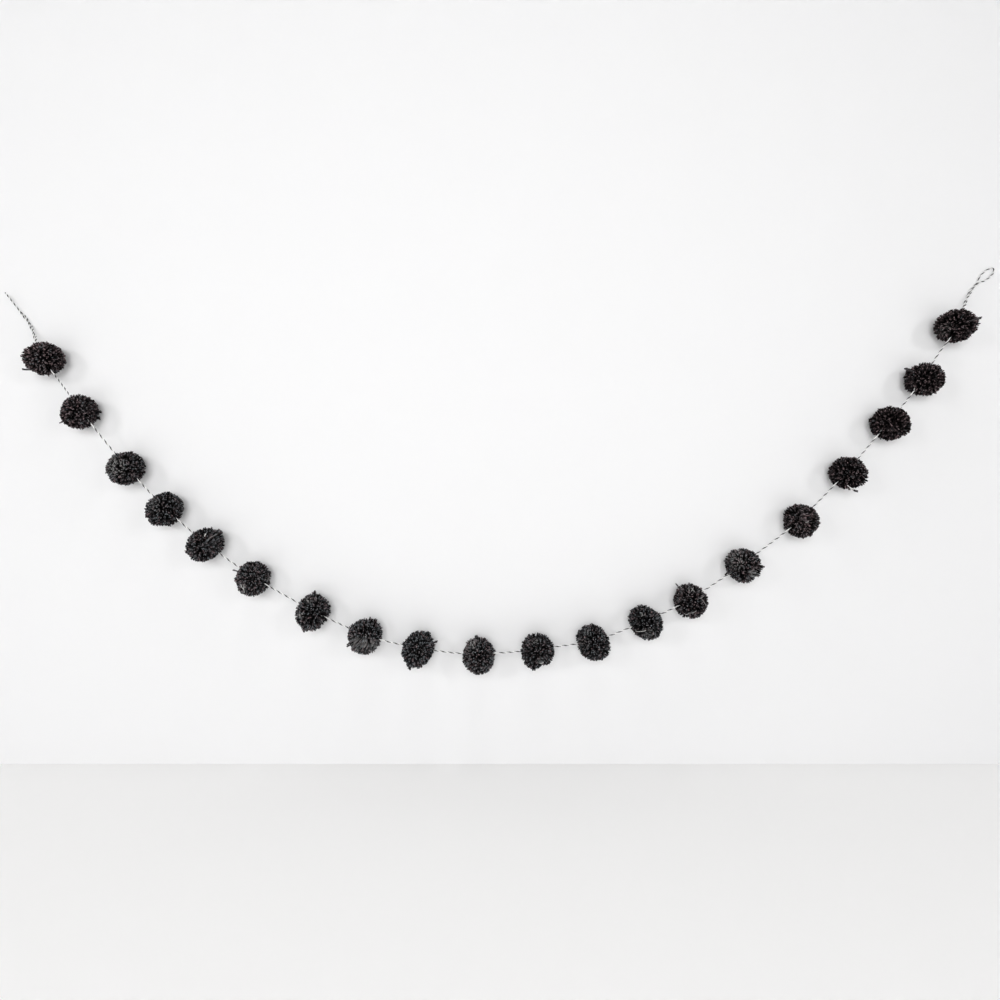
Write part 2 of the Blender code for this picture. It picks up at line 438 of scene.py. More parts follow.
def make_fibre_group():
    """A node group: stretched, slanting noise that looks like spun fibres."""
    group = bpy.data.node_groups.new("spun_fibres", "ShaderNodeTree")
    group.interface.new_socket("Vector", in_out="INPUT", socket_type="NodeSocketVector")
    for way, names in (("INPUT", ("Around", "Along", "Slant")), ("OUTPUT", ("Height", "Mottle"))):
        for name in names:
            group.interface.new_socket(name, in_out=way, socket_type="NodeSocketFloat")
    nodes, links = group.nodes, group.links
    given = nodes.new("NodeGroupInput")
    parts = nodes.new("ShaderNodeSeparateXYZ")
    links.new(given.outputs["Vector"], parts.inputs[0])

    def math_node(operation, first, second):
        node = nodes.new("ShaderNodeMath")
        node.operation = operation
        for place, value in enumerate((first, second)):
            if isinstance(value, (int, float)):
                node.inputs[place].default_value = value
            else:
                links.new(value, node.inputs[place])
        return node.outputs[0]

    slanted = math_node("MULTIPLY", parts.outputs["Y"], given.outputs["Slant"])
    around = math_node("ADD", parts.outputs["X"], slanted)
    around = math_node("MULTIPLY", around, given.outputs["Around"])
    along = math_node("MULTIPLY", parts.outputs["Y"], given.outputs["Along"])
    place = nodes.new("ShaderNodeCombineXYZ")
    links.new(around, place.inputs["X"])
    links.new(along, place.inputs["Y"])
    fibres = nodes.new("ShaderNodeTexNoise")
    set_inputs(fibres, {"Scale": 1, "Detail": 3})
    links.new(place.outputs[0], fibres.inputs["Vector"])
    shape = nodes.new("ShaderNodeMapRange")
    set_inputs(shape, {"From Min": 0.3, "From Max": 0.7})
    links.new(fibres.outputs["Fac"], shape.inputs["Value"])
    put = nodes.new("NodeGroupOutput")
    links.new(fibres.outputs["Fac"], put.inputs["Height"])
    links.new(shape.outputs["Result"], put.inputs["Mottle"])
    return group


spun_fibres = make_fibre_group()
print("sockets of the group:", [socket.name for socket in spun_fibres.interface.items_tree])

# %% [markdown]
# ## The twine's two cottons
#
# Both are matt cotton. The white is a little cream and mottled, the black is nearly as
# dark as the yarn.

# %% Cotton materials
def fibre_material(name, uv_name, around, along, slant, bump, bump_height):
    """A matt fibre with its bump, whose colour is left open. Gives its useful nodes."""
    material = bpy.data.materials.new(name)
    material.use_nodes = True
    nodes, links = material.node_tree.nodes, material.node_tree.links
    surface = nodes["Principled BSDF"]
    set_inputs(surface, {"Roughness": 0.92, "Specular IOR Level": 0.2})
    lay = nodes.new("ShaderNodeUVMap")
    lay.uv_map = uv_name
    fibres = nodes.new("ShaderNodeGroup")
    fibres.node_tree = spun_fibres
    set_inputs(fibres, {"Around": around, "Along": along, "Slant": slant})
    links.new(lay.outputs["UV"], fibres.inputs["Vector"])
    relief = nodes.new("ShaderNodeBump")
    set_inputs(relief, {"Strength": bump, "Distance": bump_height})
    links.new(fibres.outputs["Height"], relief.inputs["Height"])
    links.new(relief.outputs["Normal"], surface.inputs["Normal"])
    return material, surface, fibres


def mixed(tree, factor, first, second):
    """The result of mixing two colours, each of them a plain colour or another output."""
    node = tree.nodes.new("ShaderNodeMix")
    node.data_type = "RGBA"
    for name, value in (("Factor", factor), ("A", first), ("B", second)):
        socket = next(s for s in node.inputs if s.name == name and s.enabled)
        if isinstance(value, tuple):
            socket.default_value = (*value, 1)
        else:
            tree.links.new(value, socket)
    return next(s for s in node.outputs if s.enabled)


def cotton(name, deep, light, fuzz):
    """Cotton whose colour wanders between two shades, with fuzz that catches the light."""
    material, surface, fibres = fibre_material(
        name, "UVMap", around=7, along=900, slant=180, bump=0.6, bump_height=0.1 * MM
    )
    tree = material.node_tree
    set_inputs(surface, {"Sheen Weight": fuzz, "Sheen Roughness": 0.6})
    tree.links.new(mixed(tree, fibres.outputs["Mottle"], deep, light), surface.inputs["Base Color"])
    return material


black_cotton = cotton("black_cotton", (0.010, 0.010, 0.012), (0.035, 0.035, 0.040), 0)
white_cotton = cotton("white_cotton", (0.90, 0.895, 0.88), (0.96, 0.955, 0.94), 0.8)

# %% Join the plies into the twine
BAKE_ROWS = 16
ROW_MARGIN = 0.05


def add_bake_rows(ply, number):
    """A second UV map that cuts a ply into rows, for whoever bakes the twine's colours.

    Each ply takes its own share of the square, and its length is cut into even rows.
    """
    lay = ply.data.uv_layers["UVMap"]
    rows = ply.data.uv_layers.new(name="OFBake")
    spots = np.empty(len(lay.data) * 2)
    lay.data.foreach_get("uv", spots)
    spots = spots.reshape(-1, 2)
    made = np.zeros_like(spots)
    for face in ply.data.polygons:
        corners = list(face.loop_indices)
        around, along = spots[corners].T * np.array([[1], [BAKE_ROWS]])
        row = min(int(along.mean()), BAKE_ROWS - 1)
        height = row + ROW_MARGIN + (1 - 2 * ROW_MARGIN) * around
        made[corners, 0] = along - row
        made[corners, 1] = height / BAKE_ROWS / PLIES + number / PLIES
    rows.data.foreach_set("uv", made.ravel())


bpy.ops.object.select_all(action="DESELECT")
for number, ply in enumerate(plies):
    ply.data.materials.append(black_cotton if number < BLACK_PLIES else white_cotton)
    add_bake_rows(ply, number)
    ply.select_set(True)
bpy.context.view_layer.objects.active = plies[0]
bpy.ops.object.join()
twine = bpy.context.object
twine.name = twine.data.name = "bakers_twine"
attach(twine, "root")
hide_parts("twine")
print("twine faces:", len(twine.data.polygons))

# %% [markdown]
# ## One yarn end
#
# A pom-pom is wound, tied and cut open, so its surface is nothing but cut ends of yarn.
# Each end is three plies that come a little apart at the cut. Hair particles would show as
# thin lines and leave no mesh, so one end is modelled, and then copied by the hundred.
# It is one metre tall here, and each copy is shortened as it is bent into place. A square
# that is extruded upwards twice, turned and widened on the way, makes a ply with few faces.

# %% Model one ply of yarn and copy it twice
YARN_PLIES = 3
Ring = namedtuple("Ring", "height out radius turn")
RINGS_OF_YARN = (
    Ring(0.00, 0.35 * MM, 0.42 * MM, 0),
    Ring(0.72, 0.52 * MM, 0.62 * MM, 55),
    Ring(1.00, 0.64 * MM, 0.60 * MM, 100),
)


def start_shape(sides, radius):
    """A filled polygon that is ready to be extruded upwards in edit mode."""
    bpy.ops.mesh.primitive_circle_add(vertices=sides, radius=radius, fill_type="NGON")
    bpy.ops.object.mode_set(mode="EDIT")
    bpy.ops.mesh.select_all(action="SELECT")
    return bpy.context.object


def model_yarn_end():
    """Three plies that stand round the Z axis, from a square extruded upwards."""
    base = RINGS_OF_YARN[0]
    yarn = start_shape(4, base.radius)
    bpy.ops.transform.translate(value=(base.out, 0, 0))
    for below, ring in zip(RINGS_OF_YARN, RINGS_OF_YARN[1:]):
        rise, wider = ring.height - below.height, ring.radius / below.radius
        turn, twist = math.radians(below.turn), math.radians(below.turn - ring.turn)
        place = Vector((math.cos(turn), math.sin(turn), 0))
        top = Vector((0, 0, ring.height))
        bpy.ops.mesh.extrude_region_move(TRANSFORM_OT_translate={"value": (0, 0, rise)})
        bpy.ops.transform.resize(
            value=(wider, wider, 1), center_override=place * below.out + top
        )
        bpy.ops.transform.translate(value=place * (ring.out - below.out))
        bpy.ops.transform.rotate(value=twist, orient_axis="Z", center_override=top)
    bpy.ops.mesh.select_all(action="SELECT")
    for _ in range(YARN_PLIES - 1):
        bpy.ops.mesh.duplicate()
        bpy.ops.transform.rotate(
            value=2 * math.pi / YARN_PLIES, orient_axis="Z", center_override=(0, 0, 0)
        )
    finish_shape()
    return yarn


yarn_model = model_yarn_end()
print("a yarn end has", len(yarn_model.data.polygons), "faces")

# %% [markdown]
# The other small shapes are made the same way: a fine loose fibre, which is a triangle
# drawn out to a point, and a piece of thread, a hexagon extruded in short steps.

# %% Model a loose fibre and a thread
FIBRE_RADIUS = 0.09 * MM
THREAD_RADIUS = 0.5 * MM
THREAD_STEPS = 6
THREAD_SIDES = 6


def model_strand(sides, radius, steps, pointed=False):
    """A fibre or a piece of thread, one metre tall, whose end is pointed or blunt."""
    strand = start_shape(sides, radius)
    for _ in range(steps):
        rise = (0, 0, 1 / steps)
        bpy.ops.mesh.extrude_region_move(TRANSFORM_OT_translate={"value": rise})
    if pointed:
        bpy.ops.mesh.merge(type="CENTER")
    finish_shape()
    return strand


fibre_model = model_strand(3, FIBRE_RADIUS, 1, pointed=True)
thread_model = model_strand(THREAD_SIDES, THREAD_RADIUS, THREAD_STEPS)
print("faces:", len(fibre_model.data.polygons), "and", len(thread_model.data.polygons))

# %% [markdown]
# ## The tied middle
#
# Under the loose ends a pom-pom is dense, because all its yarn passes through one tie.
# Nobody sees it, but it has to stop the light, and it is painted nearly black, as the
# shade deep inside a ball. A ring with a narrow hole leaves the twine its way through, and
# it is stretched along the twine until it is nearly a ball.

# %% Model the dense middle
MIDDLE_SHARE = 0.60
TWINE_HOLE = 0.08
STRETCH = 1.9


def model_middle():
    """The dense middle of a ball of radius 1, with the twine's way along Z."""
    thick = (MIDDLE_SHARE - TWINE_HOLE) / 2
    bpy.ops.mesh.primitive_torus_add(
        major_segments=16, minor_segments=8, major_radius=TWINE_HOLE + thick, minor_radius=thick
    )
    middle = bpy.context.object
    bpy.ops.object.mode_set(mode="EDIT")
    bpy.ops.mesh.select_all(action="SELECT")
    bpy.ops.transform.resize(value=(1, 1, STRETCH), center_override=(0, 0, 0))
    finish_shape()
    return middle


middle_model = model_middle()
print("dense middle:", len(middle_model.data.polygons), "faces")

# %% [markdown]
# ## Many copies in one mesh
#
# Thousands of objects would be slow, so the copies of one ball become one mesh. Each
# small model is read once into arrays. Numpy then bends all the copies at the same time,
# each along its own curve with a start, a middle and an end.

# %% Read the models into arrays
Model = namedtuple("Model", "points faces ply lay spot")
SAME_HEIGHT = 0.01
SIDE_OF_CELL = 0.72
WRAP_SHARE = 0.62
WRAP_START = 0.35
CELL_EDGE = 0.02
CAP_SIZE = (0.3, 0.1)
CAP_PLACE = (0.5, 0.86)


def read_model(thing, plies=1):
    """The model's points, its faces and two maps, after which the object is removed.

    Edit mode may list the faces in another order at each run, so they are sorted.

    Lay is the map that the fibres follow: U goes round a ply and V along it. Spot is each
    corner's place in a cell of its copy's own, with the ends of the plies at the top.
    """
    points = as_array(vertex.co for vertex in thing.data.vertices)
    ply = np.arange(len(points)) * plies // len(points)
    faces = sorted(tuple(face.vertices) for face in thing.data.polygons)
    lay, spot = [], []
    for face in faces:
        height = points[list(face), 2]
        turns = []
        for corner in face:
            level = abs(points[:, 2] - points[corner, 2]) < SAME_HEIGHT
            arm = points[corner] - points[level & (ply == ply[corner])].mean(0)
            turns.append(math.atan2(arm[1], arm[0]) / 2 / math.pi)
        turns = np.array(turns)
        if np.ptp(height) < SAME_HEIGHT:
            angle = 2 * math.pi * turns
            spot += (np.stack([np.cos(angle), np.sin(angle)], 1) * CAP_SIZE + CAP_PLACE).tolist()
        else:
            turns = np.where(turns < turns.max() - 0.5, turns + 1, turns)
            around = np.clip(turns * WRAP_SHARE + WRAP_START, CELL_EDGE, 1 - CELL_EDGE)
            spot += list(zip(around, height * SIDE_OF_CELL))
        lay += list(zip(turns, height))
    bpy.data.objects.remove(thing)
    return Model(points, faces, ply, np.array(lay), np.array(spot))


yarn_end = read_model(yarn_model, YARN_PLIES)
fibre, thread, dense_middle = (
    read_model(model) for model in (fibre_model, thread_model, middle_model)
)
print("points in a yarn end:", len(yarn_end.points))

# %% Bend copies along curves
TOP_RING = 0.9
LAY_SHIFT = (0.37, 0.61)


def on_curve(start, middle, end, share):
    """Points some share of the way along curves with a start, a middle and an end."""
    return start * (1 - share) ** 2 + middle * 2 * share * (1 - share) + end * share ** 2


def bend_copies(model, curves, side, width, frayed=0.0, rng=None):
    """Copies of a model, one along each curve, as points by copy and by vertex.

    A curve is three points. Side is the way that a copy's X axis turns, and width scales
    its thickness. Frayed moves the top of each ply by about that much, its own way.
    """
    start, middle, end = (curves[:, i, None] for i in range(3))
    height = model.points[:, 2][None, :, None]
    along = unit((middle - start) * (1 - height) + (end - middle) * height)
    across = unit(side[:, None] - along * (side[:, None] * along).sum(-1, keepdims=True))
    upwards = np.cross(along, across)
    x, y = model.points[:, 0][None, :, None], model.points[:, 1][None, :, None]
    width = np.asarray(width).reshape(-1, 1, 1)
    points = on_curve(start, middle, end, height) + width * (x * across + y * upwards)
    if frayed:
        plies = model.ply.max() + 1
        moves = rng.normal(0, frayed, (len(curves), plies, 3))[:, model.ply]
        points += moves * (height > TOP_RING)
    return points


def joined_mesh(name, groups, cells_across):
    """One mesh from groups of copies, with both maps and the dye and painted shade of every point.
    """
    points, faces, lay, spot, dye_and_shade = [], [], [], [], []
    first = 0
    for model, placed, dyes_and_shade, cells in groups:
        copies, size = placed.shape[:2]
        starts = first + size * np.arange(copies)
        for begin in starts.tolist():
            faces += [tuple(begin + corner for corner in face) for face in model.faces]
        shift = np.stack([cells % cells_across, cells // cells_across], 1)[:, None]
        spot.append(((model.spot + shift) / cells_across).reshape(-1, 2))
        lay.append((model.lay + cells[:, None, None] * LAY_SHIFT).reshape(-1, 2))
        points.append(placed.reshape(-1, 3))
        dye_and_shade.append(dyes_and_shade.reshape(-1, 4))
        first += copies * size
    mesh = bpy.data.meshes.new(name)
    mesh.from_pydata(np.concatenate(points).tolist(), [], faces)
    for map_name, corners in (("yarn_lay", lay), ("OFBake", spot)):
        layer = mesh.uv_layers.new(name=map_name)
        layer.data.foreach_set("uv", np.concatenate(corners).ravel())
    layer = mesh.attributes.new("dye_and_shade", "FLOAT_COLOR", "POINT")
    layer.data.foreach_set("color", np.concatenate(dye_and_shade).ravel())
    mesh.shade_smooth()
    return mesh


# %% [markdown]
# ## What makes each ball its own
#
# Hand trimming leaves tufts, notches and combed places. A patch row says where on its ball
# such a place is, in millimetres right of and above the ball's centre as the camera sees
# it, and how far it reaches, fading over the outer half. There the yarn grows longer or
# shorter, is combed one way until it lies side on, is paler, or is cut raggedly.
#
# A loose piece of yarn or a bit of the pale thread that ties the ball has its own row. It
# runs from one place to another and bulges outwards between them.

# %% Tables of patches and loose pieces
Patch = namedtuple(
    "Patch", "pompom right up reach grows combed lean pale ragged", defaults=(0, 0, 0, 0, 0)
)
PATCHES = (
    Patch(1, -20, 17, 5, grows=-5),
    Patch(1, -16, -22, 9, grows=-2.5),
    Patch(2, 28, 0, 4, grows=3),
    Patch(2, 27, -9, 5, grows=3),
    Patch(2, 13, 16, 10, combed=30, lean=0.7),
    Patch(3, -13, 2, 17, pale=0.21),
    Patch(4, -4, -24, 14, grows=-2),
    Patch(4, -13, 6, 14, pale=0.07),
    Patch(5, 12, 8, 13, combed=40, lean=0.9),
    Patch(5, 19, 18, 5, grows=2.5),
    Patch(6, 22, 0, 6, grows=-2.5, pale=0.18),
    Patch(6, -14, -14, 8, pale=0.08),
    Patch(7, 2, 26, 5, grows=3),
    Patch(7, -6, 17, 6, pale=0.22),
    Patch(7, -16, -4, 5, pale=0.28),
    Patch(7, 0, -7, 5, grows=-3),
    Patch(7, 18, -19, 8, grows=-4),
    Patch(7, 7, -26, 4, grows=3),
    Patch(7, -11, -25, 4, grows=3),
    Patch(8, -25, -12, 5, grows=4, combed=205, lean=0.5),
    Patch(8, 16, 22, 4, grows=3),
    Patch(8, -11, -12, 15, combed=220, lean=0.7, pale=0.12),
    Patch(8, 8, -14, 14, combed=255, lean=0.6, pale=0.14),
    Patch(8, 2, 2, 5, pale=0.2),
    Patch(9, 13, 22, 4, grows=2),
    Patch(9, -11, -26, 5, grows=3),
    Patch(9, 2, -4, 9, pale=0.06),
    Patch(10, -4, 26, 4, grows=3),
    Patch(10, -9, 15, 11, pale=0.2),
    Patch(11, -5.5, 22.5, 6, grows=-6),
    Patch(11, -3, 13, 6, pale=0.18),
    Patch(11, 9, -22, 6, grows=-3.5),
    Patch(11, 6, -15, 6, combed=20, lean=0.8, pale=0.14),
    Patch(11, -9, -21, 11, grows=3.5),
    Patch(11, -3, -26, 4, grows=1.5),
    Patch(12, 24, -11, 3, grows=3),
    Patch(12, -7, 14, 7, pale=0.09),
    Patch(12, -14, 0, 12, pale=0.08),
    Patch(13, -5, 11, 5, combed=340, lean=0.5, pale=0.35),
    Patch(13, 4, -14, 12, pale=0.1),
    Patch(14, 14, 12, 5, grows=-2),
    Patch(15, 27, 0, 5, grows=3),
    Patch(15, -9, 8, 16, pale=0.17),
    Patch(15, 15, -11, 7, combed=30, lean=0.8, pale=0.20),
    Patch(16, -20, 11, 12, ragged=4),
    Patch(16, 10, 4, 12, combed=350, lean=0.8),
    Patch(17, 24, -6, 9, grows=0.5, ragged=3),
    Patch(17, 7, -20, 6, grows=-2),
    Patch(18, -22, 9, 10, grows=-0.5, ragged=3.5),
    Patch(18, 25, -6, 9, grows=0.5, ragged=3),
    Patch(18, 4, -8, 12, combed=320, lean=0.6),
    Patch(19, -22, 12, 4, grows=2),
    Patch(20, 26, 2, 9, grows=1.5, ragged=3),
    Patch(20, -14, -6, 14, pale=0.07),
)
Loose = namedtuple("Loose", "pompom right up to_right to_up bulge thick pale")
LOOSE_PIECES = (
    Loose(1, -12, -16, -28, -13, 0, 1.2, 0.0),
    Loose(2, -17, -10, -26, -14, 1, 0.8, 0.0),
    Loose(5, -1, 12, 1, 14, 1, 1.2, 1.0),
    Loose(5, 4, 8, 16, 14, 1, 0.6, 0.35),
    Loose(6, -17, 9, -26, 11, 1, 1.0, 0.0),
    Loose(6, -18, -5, -12, -14, 2, 0.6, 0.8),
    Loose(6, -13, -7, -11, -18, 2, 0.6, 0.7),
    Loose(9, 17, 7, 24, 10, 2, 1.5, 0.0),
    Loose(11, 3, -18, 8, -15, 1, 0.8, 0.75),
    Loose(13, -14, -12, 1, -10, 3, 0.7, 0.8),
    Loose(14, -12, 14, -19, 22, 1, 0.9, 0.0),
    Loose(14, -3, 19, -1, 10, 1, 0.45, 0.45),
    Loose(14, 5, 20, 1, 12, 2, 0.5, 0.65),
    Loose(14, 0, 18, 5, 11, 2, 0.45, 0.55),
    Loose(14, 10, 2, 17, 6, 2, 0.4, 0.4),
    Loose(14, 14, 4, 20, -7, 2, 0.45, 0.4),
    Loose(14, -9, -18, -2, -16, 2, 0.6, 0.65),
    Loose(14, -3, -17, 7, -13, 2, 0.5, 0.55),
    Loose(15, -13, -7, -23, -12, 0, 1.2, 0.0),
    Loose(16, 5, -2, 10, -1, 1, 0.5, 0.8),
    Loose(17, 0, -18, 10, -22, 1, 1.4, 1.0),
    Loose(17, 4, -21, 13, -24, 1, 1.4, 0.0),
    Loose(19, -14, 11, -25, 14, 1, 1.6, 0.0),
    Loose(19, -14, -12, -13, -13, 1, 0.9, 0.8),
    Loose(20, 21, 7, 33, 11, 1, 1.6, 0.0),
)
print(len(PATCHES), "patches and", len(LOOSE_PIECES), "loose pieces")

# %% [markdown]
# ## Growing the yarn of one ball
#
# The ends are spread evenly over the ball by turning each one the golden angle further
# than the last. Real ends lean together in small clumps with dark gaps between them, and
# no two are cut to the same length. How far the ball reaches in each direction is measured
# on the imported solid, from outside, so the yarn fills that solid, and only single ends and
# tufts go a little past it.

# %% Directions and reach
YARN_ENDS = 730
CLUMPS = 150
GOLDEN_ANGLE = math.pi * (3 - math.sqrt(5))
FAR_OUT = 60 * MM
LEAST_REACH = 0.75


def even_directions(count, shake, rng):
    """Directions spread evenly all round, turned at random and shaken a little."""
    index = np.arange(count) + 0.5
    up = 1 - 2 * index / count
    flat = np.sqrt(1 - up ** 2)
    turn = index * GOLDEN_ANGLE
    spread = np.stack([flat * np.cos(turn), flat * np.sin(turn), up], 1)
    turned = spread @ np.linalg.qr(rng.normal(size=(3, 3)))[0]
    return unit(turned + rng.normal(0, shake, (count, 3)))


def solid_of(node):
    """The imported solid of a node, ready to be measured with rays."""
    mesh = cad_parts[node].data
    points = [vertex.co for vertex in mesh.vertices]
    return BVHTree.FromPolygons(points, [tuple(face.vertices) for face in mesh.polygons])


def reach_of(solid, centre, directions):
    """How far a ball reaches in each direction, with its usual reach over the twine's way."""
    reach = []
    for direction in directions:
        outward = Vector(direction)
        place = solid.ray_cast(centre + outward * FAR_OUT, -outward)[0]
        reach.append((place - centre).length if place else 0)
    reach = np.array(reach)
    usual = np.median(reach)
    return np.where(reach < LEAST_REACH * usual, usual, reach)


def seen_beside(centre, points):
    """How far right of and above a centre the camera sees points, on its plane, in mm."""
    rays = points - CAMERA_SPOT
    share = (centre[1] - CAMERA_SPOT[1]) / rays[:, 1]
    seen = CAMERA_SPOT + rays * share[:, None]
    return (seen - centre)[:, [0, 2]] / MM


def seen_place(solid, centre, right, up):
    """The point of a ball that the camera sees there, or, beside the ball, one level with it."""
    spot = centre + Vector((right, 0, up)) * MM
    ray = (spot - CAMERA_PLACE).normalized()
    place = solid.ray_cast(CAMERA_PLACE, ray)[0]
    return np.array(place or CAMERA_PLACE + ray * (centre - CAMERA_PLACE).dot(ray))


# %% The way for the twine
TWINE_CLEARANCE = 2.1 * MM
SHOWN_BEYOND = 3 * MM
PARTING_DEPTH = 20 * MM
PARTING_STEP = 1 * MM
PARTING_OPENS = 0.30
LOOKED_AT = (0.4, 0.6, 0.8, 1.0)
COVERING = 0.6
STUB = 0.3


def twine_and_parting(row, centre, along):
    """The twine near a ball, with a V of points above it where the camera sees it.

    Gives the twine's points, the V's points and how far the yarn has to stay away from each
    of those. The V starts inside the ball at the end that faces the camera, as deep as the
    ball's row says.
    """
    near = middle_line[np.abs(middle_line - centre).max(1) < FAR_OUT]
    to_camera = unit(CAMERA_SPOT - centre)
    outward = np.array(camera_side_end(row, along))
    out = (near - centre) @ outward
    surface = row.thickness * MM / 2
    shown = near[(out > surface - row.shows * MM) & (out < surface + SHOWN_BEYOND)]
    rises = np.arange(PARTING_STEP, PARTING_DEPTH, PARTING_STEP)
    if not row.shows:
        rises = rises[:0]
    above = (shown[:, None] + to_camera * rises[None, :, None]).reshape(-1, 3)
    return near, above, np.tile(TWINE_CLEARANCE + PARTING_OPENS * rises, len(shown))


def part_round(points, line, keep_off):
    """Pushes points off a line until they are as far from it as they have to be."""
    gaps = points[:, None] - line[None]
    distance = np.linalg.norm(gaps, axis=2)
    lack = keep_off[None] - distance
    worst = lack.argmax(1)
    each = np.arange(len(points))
    push = gaps[each, worst] / distance[each, worst][:, None]
    return points + push * np.clip(lack[each, worst], 0, None)[:, None]


def cut_back(start, half, end, above, opening):
    """Cuts the ends short that would still lie over the shown twine."""
    places = on_curve(start, half, end, np.array(LOOKED_AT)[:, None, None])
    distance = np.linalg.norm(places[:, :, None] - above, axis=3)
    covers = (distance < COVERING * opening).any(axis=(0, 2))
    kept = np.where(covers, STUB, 1)[:, None]
    return start + (half - start) * kept, start + (end - start) * kept


# %% Where each yarn end runs
END_SHAKE = 0.035
CLUMP_SHAKE = 0.05
CLUMP_PULL = 0.18
PULL_RANGE = (0.3, 1.3)
END_UNEVENNESS = 0.75 * MM
CLUMP_UNEVENNESS = 0.5 * MM
MEAN_TRIM = 0.3 * MM
MOST_OUT = 1.6 * MM
MOST_IN = 4 * MM
MIDDLE_DEPTH = 0.55
HALF_WAY = 0.83
BOW = 0.5 * MM
SEEN_FROM_FRONT = -0.25
RAGGED_CLUMPS = 0.6
COMBED_UNDER = 3.5 * MM
BACKDROP_GAP = 1 * MM


def trimmed(number, middle, tips, feet, reach, uneven):
    """What a ball's patches make of its yarn: its feet, its reach, how pale, how combed."""
    seen = seen_beside(middle, middle + tips * reach[:, None])
    facing = tips @ unit(CAMERA_SPOT - middle) > SEEN_FROM_FRONT
    every_other = np.arange(YARN_ENDS) % 2
    pale, combed = np.zeros(YARN_ENDS), np.zeros(YARN_ENDS)
    for patch in PATCHES:
        if patch.pompom != number:
            continue
        away = np.hypot(*(seen - (patch.right, patch.up)).T)
        share = np.clip(2 * (1 - away / patch.reach), 0, 1) * facing
        reach = reach + share * (patch.grows + patch.ragged * uneven) * MM
        pale += share * patch.pale
        if patch.lean:
            angle = math.radians(patch.combed)
            way = np.array((math.cos(angle), 0, math.sin(angle)))
            way = way - tips * (tips @ way)[:, None]
            feet = unit(feet - way * (share * patch.lean)[:, None])
            combed += share
            reach = reach - share * every_other * COMBED_UNDER
    return feet, reach, pale, np.clip(combed, 0, 1)


def yarn_curves(number, row, along, centre, solid, rng):
    """The start, middle and end of every yarn end of a ball, how pale and how combed."""
    feet = even_directions(YARN_ENDS, END_SHAKE, rng)
    clumps = even_directions(CLUMPS, CLUMP_SHAKE, rng)
    clump = (feet @ clumps.T).argmax(1)
    pull = CLUMP_PULL * rng.uniform(*PULL_RANGE, (YARN_ENDS, 1))
    tips = unit(feet + (clumps[clump] - feet) * pull)
    trim = rng.normal(MEAN_TRIM, END_UNEVENNESS, YARN_ENDS)
    trim += rng.normal(0, CLUMP_UNEVENNESS, CLUMPS)[clump]
    reach = reach_of(solid, centre, tips) - np.clip(trim, -MOST_OUT, MOST_IN)
    middle = np.array(centre)
    uneven = RAGGED_CLUMPS * rng.uniform(-1, 1, CLUMPS)[clump]
    uneven += (1 - RAGGED_CLUMPS) * rng.uniform(-1, 1, YARN_ENDS)
    feet, reach, pale, combed = trimmed(number, middle, tips, feet, reach, uneven)
    start = middle + feet * (reach * MIDDLE_DEPTH)[:, None]
    end = middle + tips * reach[:, None]
    half = middle + unit(feet + tips) * (reach * HALF_WAY)[:, None]
    half += rng.normal(0, BOW, (YARN_ENDS, 3))
    near, above, opening = twine_and_parting(row, middle, along)
    line = np.concatenate([near, above])
    keep_off = np.concatenate([np.full(len(near), TWINE_CLEARANCE), opening])
    for _ in range(2):
        half, end = part_round(half, line, keep_off), part_round(end, line, keep_off)
    half, end = cut_back(start, half, end, above, opening)
    end[:, 1] = np.minimum(end[:, 1], BACKDROP_Y - BACKDROP_GAP)
    return np.stack([start, half, end], 1), pale, combed


# %% The dye of each end, and the shade painted down its shaft
LIGHT_OF_YARN = 0.70
END_EVENNESS = 2.0
PLY_EVENNESS = 0.8
WARMTH_SPREAD = 0.4
PALE_RANGE = (0.5, 1.7)
PALE_CHANCE = 0.7
# Painted shade: each end's colour darkens below this share of its length towards the root, and
# combed ends, which lie open to the light, are painted less dark.
PAINTED_SHADE_TOP = 0.68
SHAFT_LIGHT_IN_PAINTED_SHADE = 0.01
COMBED_SHAFT_LIGHT_IN_PAINTED_SHADE = 0.5


def dye_and_shade_of(copies, model, lightness, warmth, pale, light_in_painted_shade):
    """The dye of every point: its lightness, its warmth and its paleness, with painted shade.

    Each of these is given for every ply of every copy, or as one number. The last is how
    light a copy's lower part stays beside its tip: shade is painted there, darker towards the
    root, as the shade deep between the ends.
    """
    height = model.points[:, 2][None]
    each_ply = np.ones((copies, model.ply.max() + 1))
    lightness, warmth, pale, light_in_painted_shade = (
        (each_ply * value)[:, model.ply] for value in (lightness, warmth, pale, light_in_painted_shade)
    )
    # Painted shade: the colour darkens from the top part of each end down to its root.
    rise = np.clip((height - PAINTED_SHADE_TOP) / (1 - PAINTED_SHADE_TOP), 0, 1)
    painted_shading = light_in_painted_shade + (1 - light_in_painted_shade) * rise
    return np.stack([lightness * painted_shading, warmth, pale * painted_shading, np.ones_like(pale)], 2)


# %% The yarn ends and fine fibres of one ball
END_WIDTHS = (0.86, 1.14)
FRAYED = 0.36 * MM
SURFACE_GAP = 0.3 * MM
FIBRES = 260
FIBRE_LENGTH = 2.2 * MM
FIBRE_LENGTHS = (0.4, 1)
FIBRE_SPREAD = 0.3 * MM
FIBRE_ROOT = 1.2 * MM
FIBRE_STRAY = 0.5
FIBRE_BOW = 0.25 * MM
FIBRE_PALE = 0.03


def off_the_backdrop(points):
    """Holds points in front of the backdrop."""
    points[..., 1] = np.minimum(points[..., 1], BACKDROP_Y - SURFACE_GAP)
    return points


